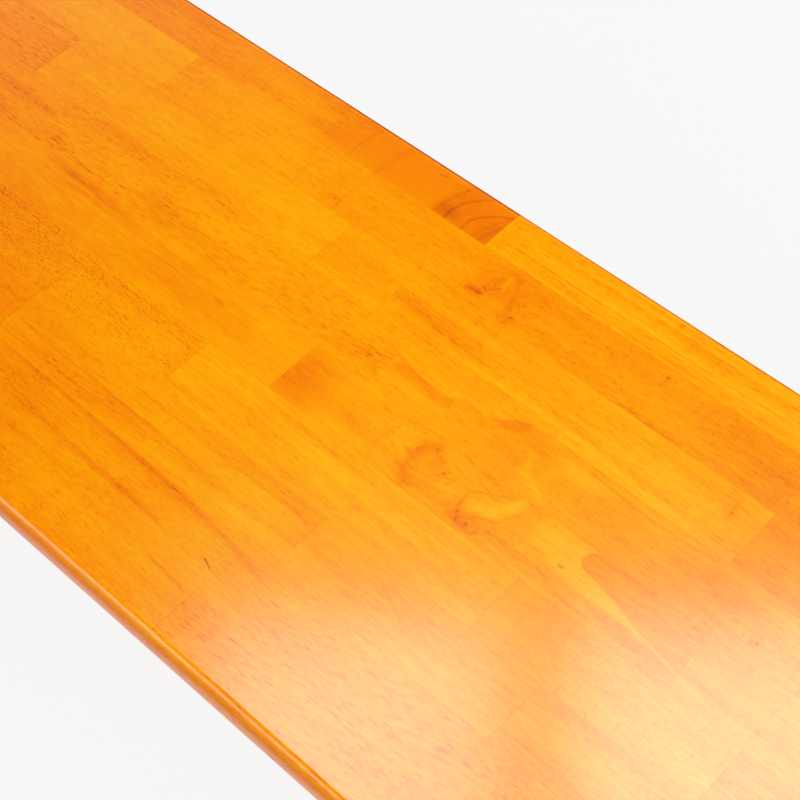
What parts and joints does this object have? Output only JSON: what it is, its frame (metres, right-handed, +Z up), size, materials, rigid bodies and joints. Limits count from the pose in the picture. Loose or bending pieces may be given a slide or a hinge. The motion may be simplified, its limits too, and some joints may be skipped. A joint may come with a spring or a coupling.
{
  "type": "dining bench",
  "caption": "Backless dining bench with a glossy edge-glued block seat, rounded edges, aprons and tapered legs bolted to corner blocks.",
  "frame": {"origin": "on the floor under the middle of the seat", "axes": "+X along the bench, +Y across it towards the back edge, +Z up; the legs stand on Z = 0 on their glides"},
  "size_m": [1.168, 0.36, 0.457],
  "materials": {
    "seat_wood": "glossy clear lacquer over honey-orange stain",
    "leg_wood": "glossy clear lacquer over honey-orange stain",
    "apron_wood": "glossy clear lacquer over honey-orange stain",
    "brace_wood": "thin satin sealer",
    "dowel_wood": "bare beech",
    "screw_steel": "yellow zinc plate",
    "zinc_steel": "bright zinc plate",
    "glide_nylon": "matt brown nylon",
    "nail_steel": "bright steel"
  },
  "bodies": {
    "root": {"seat_strip_1": "seat_wood", "seat_strip_2": "seat_wood", "seat_strip_3": "seat_wood", "seat_strip_4": "seat_wood", "seat_strip_5": "seat_wood", "seat_strip_6": "seat_wood", "seat_strip_7": "seat_wood", "seat_strip_8": "seat_wood", "seat_strip_9": "seat_wood", "leg_front_left": "leg_wood", "leg_front_right": "leg_wood", "leg_back_left": "leg_wood", "leg_back_right": "leg_wood", "apron_front": "apron_wood", "apron_back": "apron_wood", "apron_left": "apron_wood", "apron_right": "apron_wood", "seat_brace_left": "brace_wood", "seat_brace_right": "brace_wood", "corner_block_front_left": "brace_wood", "corner_block_front_right": "brace_wood", "corner_block_back_left": "brace_wood", "corner_block_back_right": "brace_wood", "apron_dowels": "dowel_wood", "brace_dowels": "dowel_wood", "corner_block_screws": "screw_steel", "seat_screws": "screw_steel", "hanger_bolts": "zinc_steel", "bolt_washers": "zinc_steel", "wing_nuts": "zinc_steel", "foot_glides": "glide_nylon", "glide_nails": "nail_steel"}
  },
  "joints": []
}
